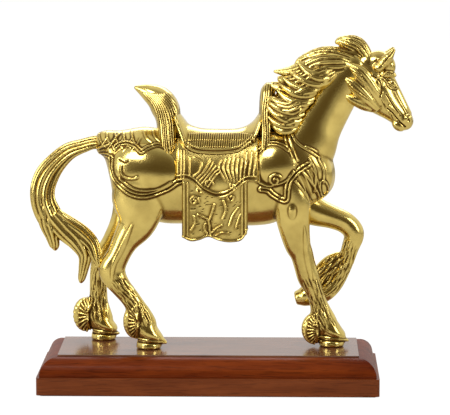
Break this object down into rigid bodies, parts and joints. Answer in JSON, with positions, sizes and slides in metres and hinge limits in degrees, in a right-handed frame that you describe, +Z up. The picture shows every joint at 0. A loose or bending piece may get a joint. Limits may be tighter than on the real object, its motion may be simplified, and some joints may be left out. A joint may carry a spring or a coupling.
{
  "type": "horse statuette",
  "caption": "Polished brass walking horse in saddle and drapery, one foreleg raised, screwed to a moulded reddish-brown wooden base with a felt underside.",
  "frame": {"origin": "centre of the felt's underside, where the statue rests", "axes": "+X from tail to head, the way the horse walks; +Y from the horse's right side to its left; +Z up"},
  "size_m": [0.3402, 0.12, 0.3117],
  "materials": {
    "brass": "polished, with brown patina left in the recesses",
    "rosewood": "clear lacquer over a red-brown stain",
    "felt": "felt",
    "steel": "zinc plated"
  },
  "bodies": {
    "root": {"plinth_board": "rosewood", "moulded_board": "rosewood", "top_panel": "rosewood", "felt_pad": "felt", "hoof_screws": "steel", "screw_washers": "steel", "torso_right": "brass", "torso_left": "brass", "neck": "brass", "head": "brass", "mane": "brass", "tail": "brass", "foreleg_right": "brass", "foreleg_left": "brass", "hindleg_right": "brass", "hindleg_left": "brass", "saddle_seat": "brass", "saddle_cantle": "brass", "saddle_pommel": "brass", "saddle_skirt_right": "brass", "saddle_skirt_left": "brass", "saddle_cloth_right": "brass", "saddle_cloth_left": "brass"}
  },
  "joints": []
}
